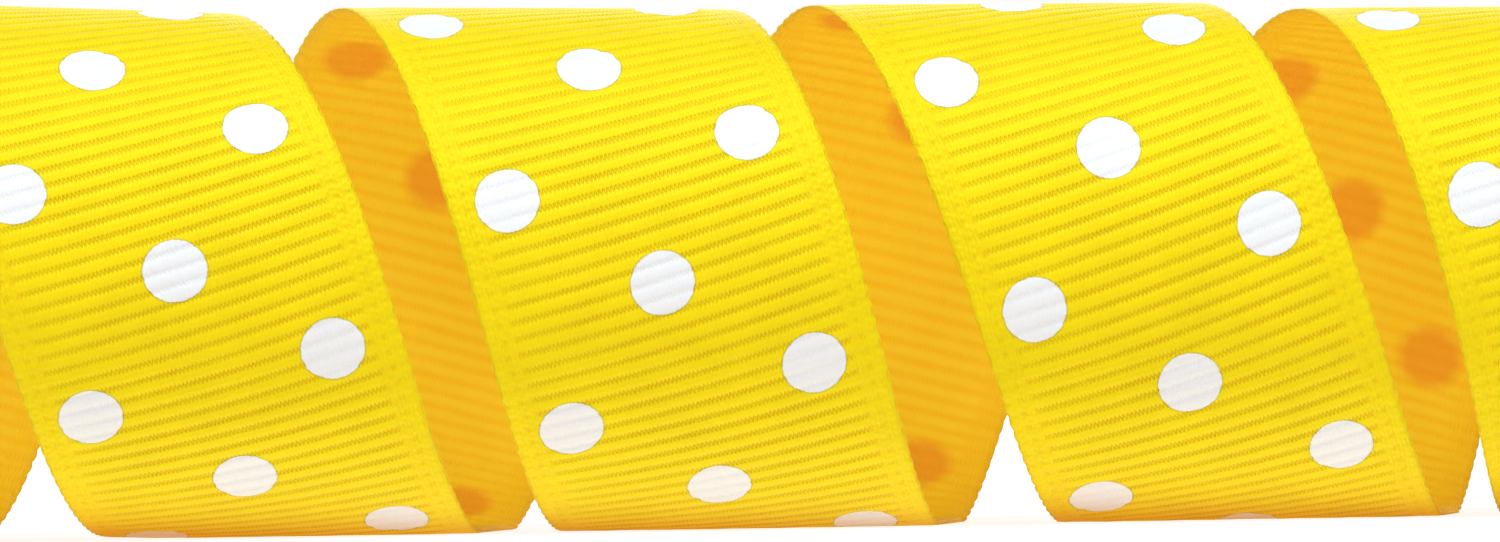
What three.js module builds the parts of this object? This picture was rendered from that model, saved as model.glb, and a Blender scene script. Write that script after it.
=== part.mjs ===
// A cut length of grosgrain ribbon, curled into an open coil that lies on its side.
// Units are millimetres and +Z is up. The coil's axis runs along X, and the origin is on the
// surface that the coil lies on, under its middle turn.

import * as THREE from 'three';

// The ribbon itself. The cloth is 1 mm thick here, the least that a solid sheet keeps.
const RIBBON_WIDTH = 25;
const RIBBON_THICKNESS = 1;

// The coil. Each turn advances by the pitch and touches the surface along a small flat spot,
// because the axis lies a little lower than the ribbon reaches.
const COIL_PITCH = 32;
const COIL_RADIUS = 17.5;
const AXIS_HEIGHT = 17.6;

// Faces along each quarter turn and across the ribbon.
const STEPS_PER_QUARTER = 9;
const STEPS_ACROSS = 6;

// The path of the ribbon's outer face, a row for each quarter turn from the left end to the right.
// shift: how far the ribbon strays along X from an even coil, in mm.
// reach: the distance from the axis to the outer face, in mm.
// lean: how far the right edge dips below the left one at the top and bottom, in mm per mm.
const QUARTERS = [
  { at: 'bottom', shift: 0.0, reach: 17.9, lean: 0.0 },
  { at: 'back', shift: 0.0, reach: 17.6, lean: 0.0 },
  { at: 'top', shift: -0.6, reach: 17.7, lean: 0.0 },
  { at: 'front', shift: -1.6, reach: 17.9, lean: 0.01 },
  { at: 'bottom', shift: -2.5, reach: 17.9, lean: 0.01 },
  { at: 'back', shift: -1.9, reach: 18.0, lean: 0.03 },
  { at: 'top', shift: -0.9, reach: 18.0, lean: 0.05 },
  { at: 'front', shift: 0.8, reach: 18.1, lean: 0.04 },
  { at: 'bottom', shift: 0.8, reach: 17.9, lean: 0.03 },
  { at: 'back', shift: 1.2, reach: 17.4, lean: 0.02 },
  { at: 'top', shift: 0.7, reach: 17.4, lean: 0.02 },
  { at: 'front', shift: 0.3, reach: 18.1, lean: 0.02 },
  { at: 'bottom', shift: -0.5, reach: 17.9, lean: 0.02 },
  { at: 'back', shift: -0.1, reach: 14.3, lean: 0.01 },
  { at: 'top', shift: 0.2, reach: 17.2, lean: 0.01 },
  { at: 'front', shift: 0.7, reach: 16.8, lean: 0.01 },
  { at: 'bottom', shift: 1.0, reach: 17.9, lean: 0.01 },
  { at: 'back', shift: 0.4, reach: 15.2, lean: 0.01 },
  { at: 'top', shift: 0.9, reach: 16.5, lean: 0.01 },
  { at: 'front', shift: 0.2, reach: 16.8, lean: 0.01 },
  { at: 'bottom', shift: -1.5, reach: 17.9, lean: 0.01 },
  { at: 'back', shift: -1.0, reach: 17.2, lean: 0.0 },
  { at: 'top', shift: -0.5, reach: 17.4, lean: 0.0 },
  { at: 'front', shift: 0.0, reach: 17.5, lean: 0.0 },
  { at: 'bottom', shift: 0.0, reach: 17.9, lean: 0.0 },
];

const LAST_QUARTER = QUARTERS.length - 1;
const QUARTER_TURN = Math.PI / 2;
const CLIMB = Math.atan(COIL_PITCH / (2 * Math.PI * COIL_RADIUS));

// A smooth curve through the rows. Its x, y and z are the shift, the reach and the lean.
const path = new THREE.CatmullRomCurve3(
  QUARTERS.map((row) => new THREE.Vector3(row.shift, row.reach, row.lean)),
  false,
  'catmullrom',
  0.5,
);

function pathAt(quarter) {
  return path.getPoint(THREE.MathUtils.clamp(quarter / LAST_QUARTER, 0, 1));
}

// The place of one point of the cloth: how many quarter turns along it is, how far across from
// the middle of the ribbon, and how deep below the outer face.
function coilPoint(quarter, across, depth) {
  // A line straight across the ribbon climbs with it, so it also turns a little round the axis.
  const turned = quarter - (across * Math.sin(CLIMB)) / COIL_RADIUS / QUARTER_TURN;
  const angle = Math.PI + turned * QUARTER_TURN;
  const { x: shift, z: lean } = pathAt(quarter);
  const reach = pathAt(turned).y - lean * across * Math.cos(angle) - depth;
  const advance = (COIL_PITCH * (quarter - LAST_QUARTER / 2)) / 4;
  return new THREE.Vector3(
    advance + shift + across * Math.cos(CLIMB),
    -reach * Math.sin(angle),
    // What would sink into the surface lies flat on it.
    Math.max(AXIS_HEIGHT + reach * Math.cos(angle), depth),
  );
}

// A flat strip, wound onto the path.
function coiledRibbonGeometry() {
  const strip = new THREE.BoxGeometry(
    LAST_QUARTER,
    RIBBON_WIDTH,
    RIBBON_THICKNESS,
    LAST_QUARTER * STEPS_PER_QUARTER,
    STEPS_ACROSS,
    1,
  );
  strip.translate(LAST_QUARTER / 2, 0, -RIBBON_THICKNESS / 2);
  const points = strip.attributes.position;
  for (let i = 0; i < points.count; i += 1) {
    const wound = coilPoint(points.getX(i), points.getY(i), -points.getZ(i));
    points.setXYZ(i, wound.x, wound.y, wound.z);
  }
  strip.computeVertexNormals();
  return strip;
}

const grosgrain = new THREE.MeshStandardMaterial({
  name: 'yellow grosgrain',
  color: 0xf5d616,
  roughness: 0.7,
  metalness: 0,
});

const ribbon = new THREE.Mesh(coiledRibbonGeometry(), grosgrain);
ribbon.name = 'ribbon';

const coil = new THREE.Group();
coil.add(ribbon);

export default coil;
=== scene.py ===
"""A coil of yellow grosgrain ribbon with white dots: its woven cloth, its print and its picture."""
import math
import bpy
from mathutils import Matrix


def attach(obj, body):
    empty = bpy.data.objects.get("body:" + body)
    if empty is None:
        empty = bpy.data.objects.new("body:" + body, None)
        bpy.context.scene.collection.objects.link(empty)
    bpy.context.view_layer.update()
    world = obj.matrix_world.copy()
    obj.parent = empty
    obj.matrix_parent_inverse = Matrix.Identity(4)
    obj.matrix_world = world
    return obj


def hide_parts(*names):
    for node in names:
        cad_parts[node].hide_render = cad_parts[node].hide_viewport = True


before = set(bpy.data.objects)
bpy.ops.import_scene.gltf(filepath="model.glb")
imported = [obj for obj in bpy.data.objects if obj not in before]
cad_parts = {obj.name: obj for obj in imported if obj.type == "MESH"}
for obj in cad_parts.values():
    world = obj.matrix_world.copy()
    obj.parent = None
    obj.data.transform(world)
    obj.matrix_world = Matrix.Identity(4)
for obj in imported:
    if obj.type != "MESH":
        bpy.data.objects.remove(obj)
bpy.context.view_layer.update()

from types import SimpleNamespace

import bmesh
import bpy
import numpy as np
from bpy.props import FloatProperty, FloatVectorProperty, PointerProperty
from mathutils import Matrix, Vector

bl_info = {
    "name": "Coiled grosgrain ribbon",
    "version": (1, 0, 0),
    "blender": (4, 5, 0),
    "location": "View3D > Sidebar > Ribbon",
    "description": "Winds a dotted grosgrain ribbon and sets the stage for its picture",
    "category": "Object",
}

MM = 0.001

# The coil, in mm: the height of its axis, its pitch and its radius, and the slant of its turns.
AXIS_HEIGHT = 17.6
COIL_PITCH = 32.0
COIL_RADIUS = 17.5
SLANT = math.atan(COIL_PITCH / (2 * math.pi * COIL_RADIUS))

# How the ribbon lies at every quarter turn (bottom, back, top, front, and bottom again): how far
# it strays sideways and reaches from the axis, in mm, how much it leans, how far its ribs and
# print have slipped along it, in mm, and how much they are askew.
QUARTERS = (
    (0.0, 17.9, 0.0, 0.0, 0.0),
    (0.0, 17.6, 0.0, 0.0, 0.0),
    (-0.6, 17.7, 0.0, 0.0, 0.0),
    (-1.6, 17.9, 0.01, 0.2, 0.0),
    (-2.5, 17.9, 0.01, 0.6, 0.0),
    (-1.9, 18.0, 0.03, 1.5, 0.01),
    (-0.9, 18.0, 0.05, 2.3, 0.02),
    (0.8, 18.1, 0.04, 1.1, 0.0),
    (0.8, 17.9, 0.03, -0.2, -0.01),
    (1.2, 17.4, 0.02, -1.0, 0.0),
    (0.7, 17.4, 0.02, 0.1, 0.0),
    (0.3, 18.1, 0.02, 0.1, 0.0),
    (-0.5, 17.9, 0.02, -1.0, 0.01),
    (-0.1, 14.3, 0.01, -1.1, -0.02),
    (0.2, 17.2, 0.01, -0.4, -0.065),
    (0.7, 16.8, 0.01, 0.3, -0.065),
    (1.0, 17.9, 0.01, 0.0, -0.05),
    (0.4, 15.2, 0.01, -0.2, -0.06),
    (0.9, 16.5, 0.01, 0.4, -0.05),
    (0.2, 16.8, 0.01, 1.0, -0.05),
    (-1.5, 17.9, 0.01, 0.5, -0.02),
    (-1.0, 17.2, 0.0, 0.2, 0.0),
    (-0.5, 17.4, 0.0, 0.0, 0.0),
    (0.0, 17.5, 0.0, 0.0, 0.0),
    (0.0, 17.9, 0.0, 0.0, 0.0),
)
QUARTER_TURNS = len(QUARTERS) - 1

# At how many points along it the coil's path is measured.
PATH_POINTS = 6001

# Where the strip's rows stand within one rib, from groove to groove, and its columns across
# one half of the ribbon, in mm from the middle. A vertex as near as this to an edge is on it.
RIB_ROWS = (0.0, 0.13, 0.29, 0.5, 0.71, 0.87)
HALF_COLUMNS = (2.0, 5.6, 9.4, 10.7, 12.05, 12.5)
COLUMNS = tuple(-w for w in reversed(HALF_COLUMNS)) + HALF_COLUMNS
EDGE_NEAR = 0.01

# The relief, in mm: how far the ribs reach into the selvage and over how much they die out there,
# how much lower the selvage lies, how much is thinned away at the edge on each face, and how far
# the edge's scallops reach.
RIB_REACH = 0.6
RIB_FADE = 1.4
SELVAGE_DROP = 0.03
OUTER_EDGE_DROP = 0.03
INNER_EDGE_DROP = 0.34
SCALLOP = 0.07

# Shares: the ribs' height in the selvage and on the inner face, where on a rib a scallop crosses
# the straight edge, and how uneven ribs and scallops (in mm) are.
SELVAGE_RIBS = 0.35
INNER_RIBS = 0.5
SCALLOP_CROSSING = 0.6
RIB_UNEVEN = 0.10
SCALLOP_UNEVEN = 0.025
DRAW_SEED = 7

# The print: its first pair of side dots along the ribbon, in quarter turns, and the middle
# column's place across it, in mm.
PRINT_START = 11.32
PRINT_MIDDLE = -0.34

# The grooves, in mm: how far the outer face's dark dashes swing to either side, the dashes' soft
# sides, and the soft sides of the hollow round them, which is wider on the inner face.
DASH_SWING = 0.32
DASH_SIDES = (0.15, 0.04)
OUTER_HOLLOW = (0.34, 0.06)
INNER_HOLLOW = (0.46, 0.02)

# The selvages, in mm from the ribbon's edge: where they give way to the ribs on each face, their
# two rows of stitches, each with its reach, and the bare thread at the very edge. A stitch has
# soft sides along the ribbon.
OUTER_SELVAGE = (1.7, 2.6)
INNER_SELVAGE = (1.4, 2.6)
STITCHES = (1.15, 0.24)
RIB_ENDS = (2.05, 0.26)
STITCH_SIDES = (0.34, 0.10)
BARE_THREAD = (0.14, 0.04)

# The grooves' painted shade is stronger in some places and weaker in others, and it fades towards
# one edge: how much, and between which distances from that edge, in mm.
PATCHINESS = 2.6
FADE = 0.45
FADE_ACROSS = (1.5, 8.0)

# How far each mark darkens the outer yarn, from 0 to 1: the dashes and the hollow are painted shade
# in the grooves, and the stitches, lines and braid are marks of the weave.
DASH_SHADE = 0.46
HOLLOW_SHADE = 0.06
STITCH_SHADE = 0.26
LINE_SHADE = 0.07
BRAID_SHADE = 0.09

# Light falls straight into the grooves near the tops of the turns, so they look fainter between
# these heights, in metres, by this share.
FAINT_HEIGHTS = (0.020, 0.034)
FAINT_SHARE = 0.5

# How the finishes shine: their roughness, the strength of their shine and its colour.
YARN_FINISH = (0.54, 0.62, (0.30, 1, 0.05))
INK_FINISH = (0.48, 0.30, (1, 1, 1))
INNER_FINISH = (0.66, 0.36, (1, 0.92, 0.12))
THREAD_RELIEF = 0.00005

# The bake map: how many sections the ribbon is cut into for it and, in mm, the gap between a face
# and its wall, the room for one wall and for both in a section, how far the end caps stand past
# the sections and from each other, and the margin all round.
BAKE_SECTIONS = 4
BAKE_GAP = 0.25
WALL_ROOM = 1.5
WALLS_ROOM = 3.5
CAP_GAP = 3.0
CAP_STEP = 2.0
BAKE_MARGIN = 0.5
OUTER, INNER, RIGHT_WALL, LEFT_WALL, CAP = range(5)

# The lamps, in metres: each one's name, its place, the point that it faces, its size and its tint.
# Its power is the stage's setting of the same name.
MIDDLE = (0, 0, AXIS_HEIGHT * MM)
LAMPS = (
    ("key", (0, -1.84, 3.56), MIDDLE, (5.6, 3.0), (0.86, 1, 1)),
    ("back", (0, 1.9, 0.7), MIDDLE, (2.8, 0.95), (1, 1, 1)),
    ("glow", (0, -0.008, 0.0205), (0, 1, 0.2), (0.21, 0.018), (1, 1, 1)),
    ("low", (0, -0.17, -0.79), MIDDLE, (1.1, 0.5), (0.87, 0.86, 0.36)),
)

# The camera: how far it turns and rolls, in degrees, the point that it aims at and its sensor, in
# mm, and how far it sees, in metres.
CAMERA_TURN = -3.3
CAMERA_ROLL = -0.95
CAMERA_AIM = (-0.98, 0, 17.17)
SENSOR_WIDTH = 36
SEES_TO = 50

# Floor and card, in metres: between which distances the floor's own light rises to full white,
# and the card's length, height above the floor and the ends of its soft rim.
NEAR_AND_FAR = (0.6, 2.0)
CARD_LENGTH = 0.24
CARD_HEIGHT = 0.00002
CARD_ENDS = (0.112, 0.085)

# The stage's colours, and those of the card's own light.
WHITE = (1, 1, 1)
BLACK = (0, 0, 0)
FLOOR_GREY = (0.22, 0.22, 0.22)
CARD_BROWN = (0.30, 0.12, 0.02)
CARD_LIGHT = (0.66, 0.42, 0.18)

# Sockets of a Mix node that mixes colours, which have the same names as its other ones.
MIX_FACTOR, MIX_FIRST, MIX_SECOND, MIX_COLOUR = 0, 6, 7, 2


def colour_property(name, description, default):
    """A colour that a user can change."""
    return FloatVectorProperty(
        name=name, description=description, default=default, size=3, subtype="COLOR", min=0, max=1
    )


class RibbonSizes(bpy.types.PropertyGroup):
    """Sizes of the cloth and of its print."""

    width: FloatProperty(
        name="Width", description="Width of the ribbon", default=0.025, unit="LENGTH"
    )
    thickness: FloatProperty(
        name="Thickness", description="Thickness over the ribs", default=0.0005, unit="LENGTH"
    )
    rib_pitch: FloatProperty(
        name="Rib pitch", description="Distance from rib to rib", default=0.00113, unit="LENGTH"
    )
    rib_height: FloatProperty(
        name="Rib height", description="Depth of a groove", default=0.00008, unit="LENGTH"
    )
    rib_bow: FloatProperty(
        name="Rib bow", description="How far a rib sags in its middle", default=0.00036,
        unit="LENGTH",
    )
    warp_pitch: FloatProperty(
        name="Warp pitch", description="Distance between warp threads", default=0.00028,
        unit="LENGTH",
    )
    selvage: FloatProperty(
        name="Selvage", description="Width of the flat woven edge", default=0.0024, unit="LENGTH"
    )
    dot_diameter: FloatProperty(
        name="Dot diameter", description="Diameter of a printed dot", default=0.00425,
        unit="LENGTH",
    )
    dot_repeat: FloatProperty(
        name="Dot repeat", description="Distance between dots along a column", default=0.01663,
        unit="LENGTH",
    )
    dot_column: FloatProperty(
        name="Dot column", description="From the middle column to a side one", default=0.00827,
        unit="LENGTH",
    )


class RibbonColours(bpy.types.PropertyGroup):
    """Colours of the yarn and of the print, with painted shade for the grooves, the inner face and
    the dots' shadows.
    """

    rib: colour_property("Rib", "Yarn on top of a rib", (0.89, 0.61, 0.006))
    # The groove colour is painted shade: the darker, warmer look that the yarn has in the shadow of
    # the grooves.
    groove: colour_property("Groove", "Yarn down in a groove", (0.80, 0.36, 0.004))
    edge: colour_property("Edge", "Outermost line of the selvage", (0.95, 0.60, 0.010))
    print_white: colour_property("Print", "Printed dots", (0.815, 0.76, 0.79))
    # The print shade gives the ink's streaks and, faintly, the grooves' painted shade under it.
    print_shade: colour_property("Print shade", "Streaks in a dot", (0.63, 0.59, 0.64))
    print_rim: colour_property("Print rim", "Thin line round a dot", (0.34, 0.27, 0.03))
    # The inner face's colour is the yarn's with painted shade: warmer than the ribs' colour, as the
    # same yarn looks in the shade inside the coil.
    inside: colour_property("Inside", "Inner face of the ribbon", (0.77, 0.56, 0.025))
    # The inner groove colour is painted shade in the inner face's grooves.
    inside_groove_shade: colour_property("Inside groove", "Inner face's grooves", (0.74, 0.42, 0.008))
    # The spot colour is painted shadow: a dot on the other face blocks the light that shines
    # through the thin cloth.
    spot: colour_property("Spot", "Where a dot shows through", (0.68, 0.25, 0.018))


class StageSettings(bpy.types.PropertyGroup):
    """Light, floor and camera."""

    floor_size: FloatProperty(
        name="Floor", description="Side of the floor", default=12.0, unit="LENGTH"
    )
    sky: FloatProperty(name="Sky", description="Strength of the light all round", default=0.12)
    key: FloatProperty(
        name="Key", description="Power of the light from above", default=270.0, unit="POWER"
    )
    back: FloatProperty(
        name="Back", description="Power of the light from behind", default=26.0, unit="POWER"
    )
    glow: FloatProperty(
        name="Glow",
        description="Power of the light inside, for what shines through the thin cloth",
        default=0.0163,
        unit="POWER",
    )
    low: FloatProperty(
        name="Low", description="Power of the light from below, through the floor", default=2.65,
        unit="POWER",
    )
    table: FloatProperty(
        name="Table", description="Strength of the floor's own light", default=0.82
    )
    card: FloatProperty(
        name="Card", description="Width of the warm card under the coil", default=0.022,
        unit="LENGTH",
    )
    backdrop_radius: FloatProperty(
        name="Backdrop", description="Radius of the white backdrop", default=5.8, unit="LENGTH"
    )
    distance: FloatProperty(
        name="Distance", description="From the camera to the coil's axis", default=0.8,
        unit="LENGTH",
    )
    lens: FloatProperty(name="Lens", description="Focal length in mm", default=286.66)


class Term:
    """A value or colour of a material; a sum written with terms adds the nodes for it."""

    def __init__(self, tree, socket=None):
        self.tree = tree
        self.socket = socket

    def node(self, kind, settings=None, values=None, output=0):
        """Adds a node: its settings first, then the values or links of its sockets."""
        made = self.tree.nodes.new(kind)
        for name, value in (settings or {}).items():
            setattr(made, name, value)
        for name, value in (values or {}).items():
            if isinstance(value, Term):
                self.tree.links.new(value.socket, made.inputs[name])
            else:
                made.inputs[name].default_value = value
        return Term(self.tree, made.outputs[output])

    def beside(self, output):
        """Another output of the same node."""
        return Term(self.tree, self.socket.node.outputs[output])

    def feed(self, node, name):
        """Links this value to a socket of a shader."""
        self.tree.links.new(self.socket, node.inputs[name])

    def math(self, operation, *values):
        """Adds a Math node, with its values in order."""
        return self.node("ShaderNodeMath", {"operation": operation}, dict(enumerate(values)))

    def __add__(self, other):
        return self.math("ADD", self, other)

    def __radd__(self, other):
        return self.math("ADD", other, self)

    def __sub__(self, other):
        return self.math("SUBTRACT", self, other)

    def __rsub__(self, other):
        return self.math("SUBTRACT", other, self)

    def __mul__(self, other):
        return self.math("MULTIPLY", self, other)

    def __rmul__(self, other):
        return self.math("MULTIPLY", other, self)

    def __truediv__(self, other):
        return self.math("DIVIDE", self, other)

    def __rtruediv__(self, other):
        return self.math("DIVIDE", other, self)

    def __abs__(self):
        return self.math("ABSOLUTE", self)

    def whole(self):
        """The nearest whole number."""
        return self.math("ROUND", self)

    def from_whole(self):
        """How far a value is from the nearest whole number, with its sign."""
        return self - self.whole()

    def wave(self):
        """A smooth wave from 0 to 1 and back, once for every 1 of the value."""
        return self.math("COSINE", self * (2 * math.pi)) * 0.5 + 0.5

    def step(self, start, end):
        """Rises smoothly from 0 at start to 1 at end, or falls where start is the greater."""
        rise = self.node(
            "ShaderNodeMapRange",
            {"interpolation_type": "SMOOTHSTEP"},
            {"Value": self, "From Min": min(start, end), "From Max": max(start, end)},
        )
        return rise if start <= end else 1 - rise

    def mix(self, first, second):
        """The first colour where this mask is 0 and the second where it is 1."""
        first = first if isinstance(first, Term) else (*first, 1)
        second = second if isinstance(second, Term) else (*second, 1)
        return self.node(
            "ShaderNodeMix",
            {"data_type": "RGBA"},
            {MIX_FACTOR: self, MIX_FIRST: first, MIX_SECOND: second},
            MIX_COLOUR,
        )

    def tone(self, strength):
        """This colour, brighter or darker by a strength that changes over the surface."""
        return self.node(
            "ShaderNodeMix",
            {"data_type": "RGBA", "blend_type": "MULTIPLY"},
            {MIX_FACTOR: 1.0, MIX_FIRST: self, MIX_SECOND: strength},
            MIX_COLOUR,
        )

    def noise(self, scale, stretch=(1, 1, 1), detail=2.0):
        """Noise on this vector, above and below 0."""
        placed = self.node(
            "ShaderNodeVectorMath", {"operation": "MULTIPLY"}, {0: self, 1: stretch}
        )
        values = {"Vector": placed, "Scale": scale, "Detail": detail}
        return self.node("ShaderNodeTexNoise", None, values) - 0.5


def new_material(name):
    """An empty material, the term that starts its nodes and its shader."""
    material = bpy.data.materials.new(name)
    material.use_nodes = True
    tree = material.node_tree
    return material, Term(tree), tree.nodes["Principled BSDF"]


def band(value, middle, reach):
    """1 along a line where the value is at its middle, fading to 0 at its reach."""
    return abs(value - middle).step(reach, reach * 0.4)


def weave_of(start, sizes, selvage):
    """What both faces' colours are made from: places on the flat ribbon, in mm, and its threads."""
    half = sizes.width / 2 / MM
    pitch = sizes.rib_pitch / MM
    cloth = start.node("ShaderNodeUVMap", {"uv_map": "cloth"})
    metres = cloth.node("ShaderNodeSeparateXYZ", None, {0: cloth})
    along = metres * 1000
    across = metres.beside("Y") * 1000
    flat = start.node("ShaderNodeCombineXYZ", None, {"X": along, "Y": across})
    side = across / half
    rib = (along - sizes.rib_bow / MM * (1 - side * side)) / pitch
    ripple = flat.noise(1.7)
    warp = across / (sizes.warp_pitch / MM)
    inset = half - abs(across)
    body = inset.step(*selvage)
    streaks = flat.noise(3.4, (0.35, 2.6, 1))
    return SimpleNamespace(
        flat=flat,
        along=along,
        across=across,
        inset=inset,
        past_groove=(rib + ripple * 0.09).from_whole() * pitch,
        thread=(warp + rib.whole() * 0.5 + ripple * 0.3).wave(),
        body=body,
        ribbed=body * 0.8 + 0.2,
        streaks=streaks,
        lines=(inset * 3.2 + streaks * 1.6).wave() * (1 - body),
    )


def dot_distance(weave, sizes, print_from):
    """Distance from the middle of the nearest printed dot, in mm."""
    repeat = sizes.dot_repeat / MM
    step = (weave.along - print_from) / repeat
    sideways = weave.across - PRINT_MIDDLE
    pair_along = step.from_whole() * repeat
    pair_across = abs(sideways) - sizes.dot_column / MM
    lone_along = (step - 0.5).from_whole() * repeat
    pair = pair_along * pair_along + pair_across * pair_across
    lone = lone_along * lone_along + sideways * sideways
    nearest = pair.math("MINIMUM", pair, lone)
    return nearest.math("SQRT", nearest)


def cloth_bump(height):
    """The fine relief of the threads, from their height."""
    values = {"Strength": 1.0, "Distance": THREAD_RELIEF, "Height": height}
    return height.node("ShaderNodeBump", None, values)


def finish(shader, base, bump, roughness, shine, shine_colour):
    """Gives a shader its colour, its relief and its soft shine."""
    base.feed(shader, "Base Color")
    bump.feed(shader, "Normal")
    shader.inputs["Roughness"].default_value = roughness
    shader.inputs["Specular IOR Level"].default_value = shine
    shader.inputs["Specular Tint"].default_value = (*shine_colour, 1)


def outer_cloth(sizes, colours, print_from):
    """The printed face: ribs with shaded grooves, stitched selvages and white dots."""
    material, start, shader = new_material("printed_grosgrain")
    weave = weave_of(start, sizes, OUTER_SELVAGE)
    flat, inset, body, streaks = weave.flat, weave.inset, weave.body, weave.streaks
    groove = abs(weave.past_groove)

    # In the grooves: a zigzag of dark dashes between the warp threads and a soft hollow, both
    # painted shade, uneven in places and fainter towards one edge.
    # Painted light: the grooves' painted shade is made fainter near the tops of the turns, where
    # the light falls straight into them.
    place = start.node("ShaderNodeTexCoord", output="Object")
    height = place.node("ShaderNodeSeparateXYZ", None, {0: place}, "Z")
    top_light_fade = 1 - height.step(*FAINT_HEIGHTS) * FAINT_SHARE
    zigzag = abs(weave.past_groove - (weave.thread - 0.5) * DASH_SWING)
    dashes = zigzag.step(*DASH_SIDES) * top_light_fade
    hollow = groove.step(*OUTER_HOLLOW)
    patchiness = flat.noise(0.8, (1, 0.3, 1)) * PATCHINESS + 1.0
    faded, full = (inward - sizes.width / 2 / MM for inward in FADE_ACROSS)
    fade = weave.across.step(faded, full) * FADE + (1 - FADE)
    grooves = (dashes * DASH_SHADE + hollow * HOLLOW_SHADE) * patchiness * fade * weave.ribbed

    # In the selvage: two rows of stitches, lines along it and a braid of crossing threads.
    wander = inset + streaks * 0.4
    stitches = (band(wander, *STITCHES) + band(wander, *RIB_ENDS)) * groove.step(*STITCH_SIDES)
    twist, turn = groove * (2 * MM / sizes.rib_pitch), inset * 1.1
    braid = ((twist + turn).wave() + (twist - turn).wave() - 1.0) * (1 - body) * 0.5
    selvage = stitches * STITCH_SHADE * (streaks * 3.0 + 1.0)
    selvage = selvage + weave.lines * LINE_SHADE - braid * BRAID_SHADE

    # Mixes the ribs' colour towards the groove colour: painted shade in the grooves, with the
    # selvage's marks and the yarn's streaks.
    shade = grooves + selvage + streaks * (0.34 - body * 0.20)
    yarn = shade.math("MAXIMUM", shade, 0.0).mix(colours.rib, colours.groove)
    yarn = yarn.tone(flat.noise(0.22) * 0.16 + 1.0)
    yarn = inset.step(*BARE_THREAD).mix(yarn, colours.edge)

    # The print: ink with a ragged rim, which fills the threads under it.
    radius = sizes.dot_diameter / 2 / MM
    soft_rim = radius + 0.05, radius - 0.05
    dot = dot_distance(weave, sizes, print_from)
    ragged = dot + flat.noise(4.0) * 0.16 + hollow * 0.03
    printed = ragged.step(*soft_rim)
    rim = ragged.step(radius + 0.14, radius + 0.04) * 0.5
    yarn = rim.mix(yarn, colours.print_rim)
    # The ink's own streaks, and the grooves' painted shade showing faintly through it.
    faint = dashes * 0.08 + streaks.step(-0.05, 0.2) * 0.10
    ink = faint.mix(colours.print_white, colours.print_shade)
    bare = 1 - dot.step(*soft_rim) * 0.75

    threads = weave.thread * 0.25 - (dashes * 0.8 + hollow * 0.5) * weave.ribbed
    bump = cloth_bump(threads * bare + streaks * 0.6 + braid * 0.6 - weave.lines * 0.3)
    finish(shader, yarn, bump, *YARN_FINISH)
    inked = start.node("ShaderNodeBsdfPrincipled")
    finish(inked.socket.node, ink, bump, *INK_FINISH)
    cloth = Term(start.tree, shader.outputs[0])
    both = start.node("ShaderNodeMixShader", None, {0: printed, 1: cloth, 2: inked})
    both.feed(start.tree.nodes["Material Output"], "Surface")
    return material


def inner_cloth(sizes, colours, print_from):
    """The plain inner face, in the yarn's colour with painted shade, where the dots' shadows
    through the thin cloth are painted as darker spots.
    """
    material, start, shader = new_material("plain_grosgrain")
    weave = weave_of(start, sizes, INNER_SELVAGE)
    # Painted shade: the hollows darken the inner face's grooves; the mottle, streaks and lines are
    # the cloth's own uneven tone.
    hollow = abs(weave.past_groove).step(*INNER_HOLLOW)
    mottle = weave.flat.noise(0.9, (1.4, 0.25, 1), 3.0)
    shade = hollow * 0.38 * weave.ribbed + mottle * 0.7 + (1 - weave.body) * 0.22 + 0.10
    shade = shade + weave.streaks * 0.25 + weave.thread * hollow * 0.22 + weave.lines * 0.16
    yarn = shade.math("MAXIMUM", shade, 0.0).mix(colours.inside, colours.inside_groove_shade)

    # Painted shadow: where a dot on the outer face blocks the light through the thin cloth, the
    # inner face is painted darker.
    radius = sizes.dot_diameter / 2 / MM
    dot = dot_distance(weave, sizes, print_from) + weave.flat.noise(1.2) * 0.5
    spot = dot.step(radius + 0.7, radius - 0.6) * 0.75
    yarn = spot.mix(yarn, colours.spot)
    bump = cloth_bump(weave.thread * 0.2 - hollow * 0.3 + weave.streaks * 0.7)
    finish(shader, yarn, bump, *INNER_FINISH)
    return material


def spline(at):
    """The quarter turns' table, read smoothly at any place along it."""
    table = np.array(QUARTERS)
    table = np.vstack((2 * table[0] - table[1], table, 2 * table[-1] - table[-2]))
    at = np.clip(at, 0, QUARTER_TURNS)
    row = np.minimum(at.astype(int), QUARTER_TURNS - 1)
    t = (at - row)[:, None]
    before, first, second, after = (table[row + k] for k in range(4))
    leave, arrive = (second - before) / 2, (after - first) / 2
    return (
        (2 * first - 2 * second + leave + arrive) * t**3
        + (3 * second - 3 * first - 2 * leave - arrive) * t**2
        + leave * t
        + first
    )


def wind(quarter, across, depth):
    """Points of the wound ribbon, in mm, from the place along it, across it and into it."""
    turned = quarter - across * math.sin(SLANT) / COIL_RADIUS / (math.pi / 2)
    angle = math.pi + turned * math.pi / 2
    shift = spline(quarter)[:, 0]
    lean = spline(quarter)[:, 2]
    radius = spline(turned)[:, 1] - lean * across * np.cos(angle) - depth
    x = COIL_PITCH * (quarter - QUARTER_TURNS / 2) / 4 + shift + across * math.cos(SLANT)
    y = -radius * np.sin(angle)
    z = np.maximum(AXIS_HEIGHT + radius * np.cos(angle), depth)
    return np.column_stack((x, y, z))


def measure_path(depth):
    """Places along the ribbon in quarter turns and the lengths of ribbon up to them, in mm."""
    quarter = np.linspace(0, QUARTER_TURNS, PATH_POINTS)
    points = wind(quarter, np.zeros_like(quarter), np.full_like(quarter, depth))
    steps = np.linalg.norm(np.diff(points, axis=0), axis=1)
    return quarter, np.concatenate(([0.0], np.cumsum(steps)))


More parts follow.
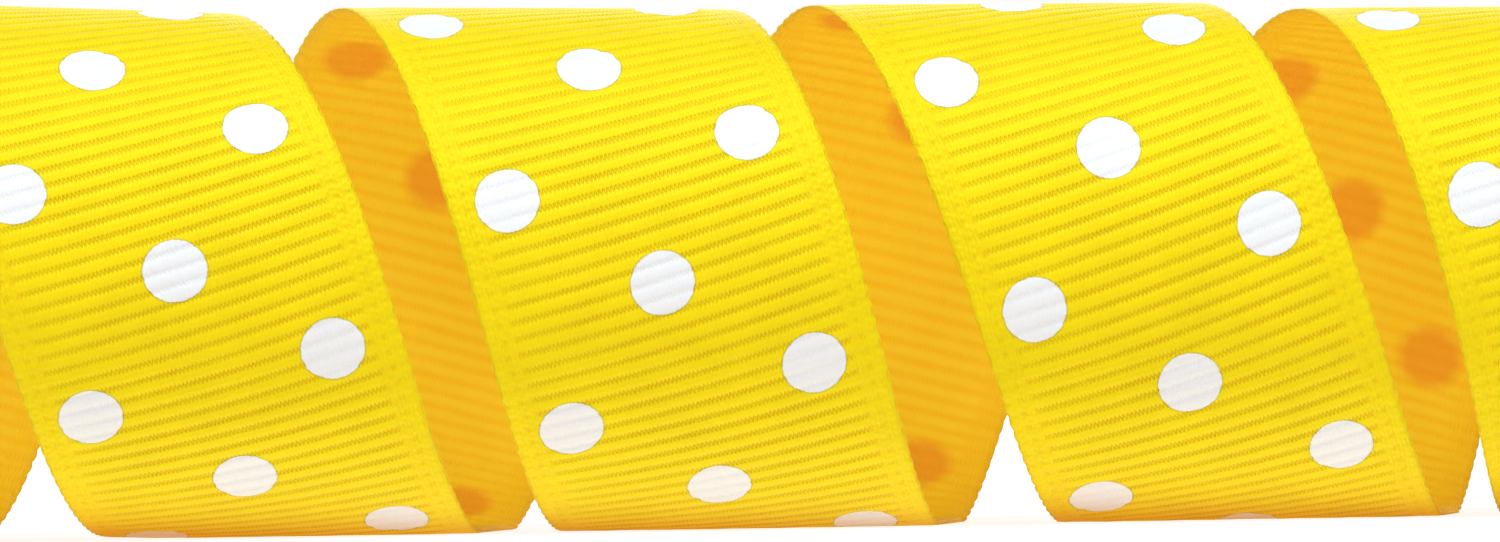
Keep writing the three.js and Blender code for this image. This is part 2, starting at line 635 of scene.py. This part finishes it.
def flat_strip(ribs):
    """A flat strip of two layers, one unit wide and long, with rows for every rib."""
    bm = bmesh.new()
    bmesh.ops.create_grid(
        bm, x_segments=len(COLUMNS) - 1, y_segments=ribs * len(RIB_ROWS), size=0.5
    )
    bmesh.ops.solidify(bm, geom=bm.faces[:], thickness=0.1)
    bmesh.ops.recalc_face_normals(bm, faces=bm.faces[:])
    return mesh_of(bm, "wound_ribbon")


def mesh_of(bm, name):
    """Turns a bmesh into a mesh."""
    mesh = bpy.data.meshes.new(name)
    bm.to_mesh(mesh)
    bm.free()
    return mesh


def read(items, name, width):
    """One number, or a few, of every item of a mesh."""
    values = np.empty(len(items) * width, dtype=np.float32)
    items.foreach_get(name, values)
    return values.reshape(-1, width)


def write(items, name, values):
    """Gives every item of a mesh its numbers."""
    items.foreach_set(name, values.astype(np.float32).ravel())


class Strip:
    """Where each vertex of the flat strip lies on the ribbon, in mm."""

    def __init__(self, mesh, ribs, pitch, sizes):
        self.half = sizes.width / 2 / MM
        self.thickness = sizes.thickness / MM
        self.ribs = ribs
        self.rows = ribs * len(RIB_ROWS)
        spot = read(mesh.vertices, "co", 3)
        column = np.rint((0.5 - spot[:, 0]) * (len(COLUMNS) - 1)).astype(int)
        self.row = np.rint((spot[:, 1] + 0.5) * self.rows).astype(int)
        self.inner = spot[:, 2] < spot[:, 2].mean()
        self.across = np.array(COLUMNS)[column] * self.half / HALF_COLUMNS[-1]
        self.right_edge = self.across > self.half - EDGE_NEAR
        self.left_edge = self.across < EDGE_NEAR - self.half
        number, part = np.divmod(self.row, len(RIB_ROWS))
        self.rib = np.minimum(number, ribs)
        self.phase = np.array(RIB_ROWS)[part]
        bow = sizes.rib_bow / MM * (1 - (self.across / self.half) ** 2)
        self.along = (number + self.phase) * pitch + bow

    def relief(self, sizes):
        """How deep each vertex lies, and how far across with the edges' scallops, in mm."""
        draw = np.random.RandomState(DRAW_SEED)
        to_end = self.half - sizes.selvage / MM + RIB_REACH - abs(self.across)
        body = np.clip(to_end / RIB_FADE, 0, 1)
        uneven = 1 + draw.normal(0, RIB_UNEVEN, self.ribs + 1)[self.rib]
        ribbed = SELVAGE_RIBS + (1 - SELVAGE_RIBS) * body
        rise = (sizes.rib_height / MM) * ribbed * uneven
        rise = np.where(self.inner, rise * INNER_RIBS, rise)
        crown = np.sin(math.pi * self.phase)
        swell = np.where(self.inner, crown**2, crown)
        edge = self.right_edge | self.left_edge
        edge_drop = edge * np.where(self.inner, INNER_EDGE_DROP, OUTER_EDGE_DROP)
        sunk = rise * (1 - swell) + (1 - body) * SELVAGE_DROP + edge_drop
        depth = np.where(self.inner, self.thickness - sunk, sunk)
        ragged = SCALLOP + draw.normal(0, SCALLOP_UNEVEN, self.ribs + 1)[self.rib]
        reach = self.across * (1 + edge * ragged * (crown - SCALLOP_CROSSING) / self.half)
        return depth, reach

    def places(self, quarter, lengths):
        """Each vertex's place along the coil, in quarter turns, with the ribs' slip and skew."""
        slip, skew = spline(quarter)[:, 3:].T
        turns = np.empty_like(self.along)
        for w in np.unique(self.across):
            here = self.across == w
            turns[here] = np.interp(self.along[here], lengths - slip - skew * w, quarter)
        return turns


class Corners:
    """The corners of a mesh's faces: each one's vertex and face."""

    def __init__(self, mesh):
        self.vertex = read(mesh.loops, "vertex_index", 1).astype(int).ravel()
        self.of_face = read(mesh.polygons, "loop_total", 1).astype(int).ravel()
        self.face = np.repeat(np.arange(len(self.of_face)), self.of_face)

    def mean(self, values):
        """Each face's mean of what its vertices have."""
        return np.bincount(self.face, weights=values[self.vertex]) / self.of_face


def spread_for_baking(mesh, corners, strip, depth):
    """A second map in which no two faces overlap: sections of ribbon, one above another."""
    inside = corners.mean(strip.inner)
    right = corners.mean(strip.right_edge)
    left = corners.mean(strip.left_edge)
    first = corners.mean(strip.row == 0)
    last = corners.mean(strip.row == strip.rows)
    kind = np.select(
        ((first == 1) | (last == 1), inside == 1, inside == 0, right == 1, left == 1),
        (CAP, INNER, OUTER, RIGHT_WALL, LEFT_WALL),
    )[corners.face]

    # Across one section lie the outer face, the right wall, the inner face and the left wall.
    width = 2 * strip.half
    w, d = strip.across[corners.vertex] + strip.half, depth[corners.vertex]
    inner_end = 2 * width + WALL_ROOM
    left_end = inner_end + BAKE_GAP + strip.thickness
    section_width = 2 * width + WALLS_ROOM
    up = np.select(
        (kind == INNER, kind == RIGHT_WALL, kind == LEFT_WALL),
        (inner_end - w, width + BAKE_GAP + d, left_end - d),
        w,
    )

    # The two end caps stand past the ends of the sections.
    section_length = strip.along.max() / BAKE_SECTIONS
    section = np.floor(corners.mean(strip.row) * BAKE_SECTIONS / strip.rows)
    section = np.minimum(section, BAKE_SECTIONS - 1)[corners.face]
    run = strip.along[corners.vertex] - section_length * section
    cap_run = section_length + CAP_GAP + d + CAP_STEP * (last[corners.face] > 0)
    run = np.where(kind == CAP, cap_run, run)
    rise = np.where(kind == CAP, up, up + section_width * section)
    spread = np.column_stack((run, rise)) + BAKE_MARGIN
    spread = spread / (section_width * BAKE_SECTIONS + 2 * BAKE_MARGIN)
    write(mesh.uv_layers.new(name="OFBake").uv, "vector", spread)


class RIBBON_OT_wind(bpy.types.Operator):
    """Weaves the ribbon flat, winds it into its coil and gives both faces their cloth"""

    bl_idname = "ribbon.wind"
    bl_label = "Wind the ribbon"
    bl_options = {"REGISTER", "UNDO"}

    def execute(self, context):
        sizes = context.scene.ribbon_sizes
        colours = context.scene.ribbon_colours
        quarter, lengths = measure_path(sizes.thickness / MM / 2)
        ribs = round(lengths[-1] / (sizes.rib_pitch / MM))
        if ribs < 1:
            raise RuntimeError("the ribbon is too short for one rib")
        pitch = lengths[-1] / ribs
        sizes.rib_pitch = pitch * MM

        mesh = flat_strip(ribs)
        strip = Strip(mesh, ribs, pitch, sizes)
        depth, reach = strip.relief(sizes)
        points = wind(strip.places(quarter, lengths), reach, depth)
        write(mesh.vertices, "co", points * MM)

        corners = Corners(mesh)
        flat = np.column_stack((strip.along, strip.across))[corners.vertex]
        write(mesh.uv_layers.new(name="cloth").uv, "vector", flat * MM)
        spread_for_baking(mesh, corners, strip, depth)

        print_from = float(np.interp(PRINT_START, quarter, lengths))
        for cloth in (outer_cloth, inner_cloth):
            mesh.materials.append(cloth(sizes, colours, print_from))
        inside = corners.mean(strip.inner)
        mesh.polygons.foreach_set("material_index", (inside > 0.9).astype(np.int32))
        mesh.polygons.foreach_set("use_smooth", (inside < 0.1) | (inside > 0.9))
        mesh.update()

        ribbon = bpy.data.objects.new("wound_ribbon", mesh)
        context.scene.collection.objects.link(ribbon)
        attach(ribbon, "root")
        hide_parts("ribbon")
        return {"FINISHED"}


def dull(shader, base, glow):
    """A surface without shine and with an even light of its own."""
    shader.inputs["Base Color"].default_value = (*base, 1)
    shader.inputs["Specular IOR Level"].default_value = 0.0
    shader.inputs["Emission Color"].default_value = (*glow, 1)
    shader.inputs["Emission Strength"].default_value = 1.0


def place_on_stage(scene, name, mesh, material):
    """An object of the stage, with its material."""
    mesh.materials.append(material)
    placed = bpy.data.objects.new(name, mesh)
    scene.collection.objects.link(placed)
    return placed


class RIBBON_OT_stage(bpy.types.Operator):
    """Lays the pale floor, sets the soft lights and places the camera"""

    bl_idname = "ribbon.stage"
    bl_label = "Set the stage"
    bl_options = {"REGISTER", "UNDO"}

    def execute(self, context):
        scene = context.scene
        settings = scene.ribbon_stage
        self.lay_floor(scene, settings)
        self.lay_card(scene, settings)
        self.hang_backdrop(scene, settings)
        self.light_all_round(scene, settings)
        for lamp in LAMPS:
            self.hang_lamp(scene, settings, *lamp)
        self.place_camera(scene, settings)
        if scene.camera is None:
            raise RuntimeError("the camera is missing")
        scene.view_settings.view_transform = "Standard"
        return {"FINISHED"}

    @staticmethod
    def lay_floor(scene, settings):
        """A pale floor that lets the light from below through, as a light table does."""
        bm = bmesh.new()
        bmesh.ops.create_grid(bm, x_segments=1, y_segments=1, size=settings.floor_size / 2)
        material, start, shader = new_material("pale_floor")
        dull(shader, FLOOR_GREY, WHITE)
        shader.inputs["Roughness"].default_value = 0.9
        place = start.node("ShaderNodeTexCoord", output="Object")
        away = place.node("ShaderNodeVectorMath", {"operation": "LENGTH"}, {0: place}, "Value")
        lit = away.step(*NEAR_AND_FAR).mix((settings.table,) * 3, WHITE)
        lit.feed(shader, "Emission Color")
        floor = place_on_stage(scene, "floor", mesh_of(bm, "floor"), material)
        floor.visible_shadow = False

    @staticmethod
    def lay_card(scene, settings):
        """A warm card under the coil, unseen by the camera, that tints the turns' undersides."""
        bm = bmesh.new()
        bmesh.ops.create_grid(bm, x_segments=1, y_segments=1, size=0.5)
        bmesh.ops.scale(bm, vec=(CARD_LENGTH, settings.card, 1), verts=bm.verts)
        bmesh.ops.translate(bm, vec=(0, 0, CARD_HEIGHT), verts=bm.verts)
        material, start, shader = new_material("warm_card")
        dull(shader, CARD_BROWN, CARD_LIGHT)
        place = start.node("ShaderNodeTexCoord", output="Object")
        along = place.node("ShaderNodeSeparateXYZ", None, {0: place})
        rim = settings.card / 2
        cover = abs(along.beside("Y")).step(rim, rim * 0.3) * abs(along).step(*CARD_ENDS)
        cover.feed(shader, "Alpha")
        card = place_on_stage(scene, "card", mesh_of(bm, "card"), material)
        card.visible_camera = False

    @staticmethod
    def hang_backdrop(scene, settings):
        """A white dome that the camera sees and that lights nothing."""
        bm = bmesh.new()
        bmesh.ops.create_uvsphere(
            bm, u_segments=48, v_segments=24, radius=settings.backdrop_radius
        )
        bmesh.ops.reverse_faces(bm, faces=bm.faces[:])
        material, _, shader = new_material("white_backdrop")
        dull(shader, BLACK, WHITE)
        backdrop = place_on_stage(scene, "backdrop", mesh_of(bm, "backdrop"), material)
        for ray in ("diffuse", "glossy", "transmission", "volume_scatter", "shadow"):
            setattr(backdrop, "visible_" + ray, False)

    @staticmethod
    def light_all_round(scene, settings):
        """A faint even light from all sides."""
        world = bpy.data.worlds.new("studio")
        world.use_nodes = True
        sky = world.node_tree.nodes["Background"]
        sky.inputs["Color"].default_value = (1, 1, 1, 1)
        sky.inputs["Strength"].default_value = settings.sky
        scene.world = world

    @staticmethod
    def hang_lamp(scene, settings, name, place, target, size, tint):
        """A soft studio lamp that the camera doesn't see."""
        data = bpy.data.lights.new(name, "AREA")
        data.shape = "RECTANGLE"
        data.size, data.size_y = size
        data.energy = getattr(settings, name)
        data.color = tint
        lamp = bpy.data.objects.new(name, data)
        lamp.location = place
        lamp.rotation_mode = "QUATERNION"
        lamp.rotation_quaternion = (Vector(target) - Vector(place)).to_track_quat("-Z", "Y")
        lamp.visible_camera = False
        scene.collection.objects.link(lamp)

    @staticmethod
    def place_camera(scene, settings):
        """A camera level with the coil, turned and rolled a little, as in the photograph."""
        turn, roll = math.radians(CAMERA_TURN), math.radians(CAMERA_ROLL)
        back = Vector((math.sin(turn), -math.cos(turn), 0))
        right = Vector((math.cos(turn), math.sin(turn), 0))
        up = back.cross(right)
        rolled_right = right * math.cos(roll) + up * math.sin(roll)
        rolled_up = up * math.cos(roll) - right * math.sin(roll)
        data = bpy.data.cameras.new("camera")
        data.lens = settings.lens
        data.sensor_width = SENSOR_WIDTH
        data.clip_end = SEES_TO
        camera = bpy.data.objects.new("camera", data)
        place = Vector([part * MM for part in CAMERA_AIM]) + back * settings.distance
        axes = Matrix((rolled_right, rolled_up, back)).transposed().to_4x4()
        camera.matrix_world = Matrix.Translation(place) @ axes
        scene.collection.objects.link(camera)
        scene.camera = camera


class RIBBON_PT_panel(bpy.types.Panel):
    """Lists the ribbon's steps, sizes and colours."""

    bl_idname = "RIBBON_PT_panel"
    bl_label = "Coiled ribbon"
    bl_space_type = "VIEW_3D"
    bl_region_type = "UI"
    bl_category = "Ribbon"

    def draw(self, context):
        layout = self.layout
        scene = context.scene
        for operator in (RIBBON_OT_wind, RIBBON_OT_stage):
            layout.operator(operator.bl_idname)
        for group in (scene.ribbon_sizes, scene.ribbon_colours, scene.ribbon_stage):
            box = layout.box()
            for name in group.__annotations__:
                box.prop(group, name)


CLASSES = (
    RibbonSizes, RibbonColours, StageSettings, RIBBON_OT_wind, RIBBON_OT_stage, RIBBON_PT_panel
)


def register():
    """Makes the ribbon's steps and settings known."""
    for made in CLASSES:
        bpy.utils.register_class(made)
    bpy.types.Scene.ribbon_sizes = PointerProperty(type=RibbonSizes)
    bpy.types.Scene.ribbon_colours = PointerProperty(type=RibbonColours)
    bpy.types.Scene.ribbon_stage = PointerProperty(type=StageSettings)


def unregister():
    """Takes them away again."""
    del bpy.types.Scene.ribbon_stage
    del bpy.types.Scene.ribbon_colours
    del bpy.types.Scene.ribbon_sizes
    for made in reversed(CLASSES):
        bpy.utils.unregister_class(made)


def main():
    """Makes the ribbon and its stage."""
    register()
    bpy.ops.ribbon.wind()
    bpy.ops.ribbon.stage()


if __name__ == "__main__":
    main()
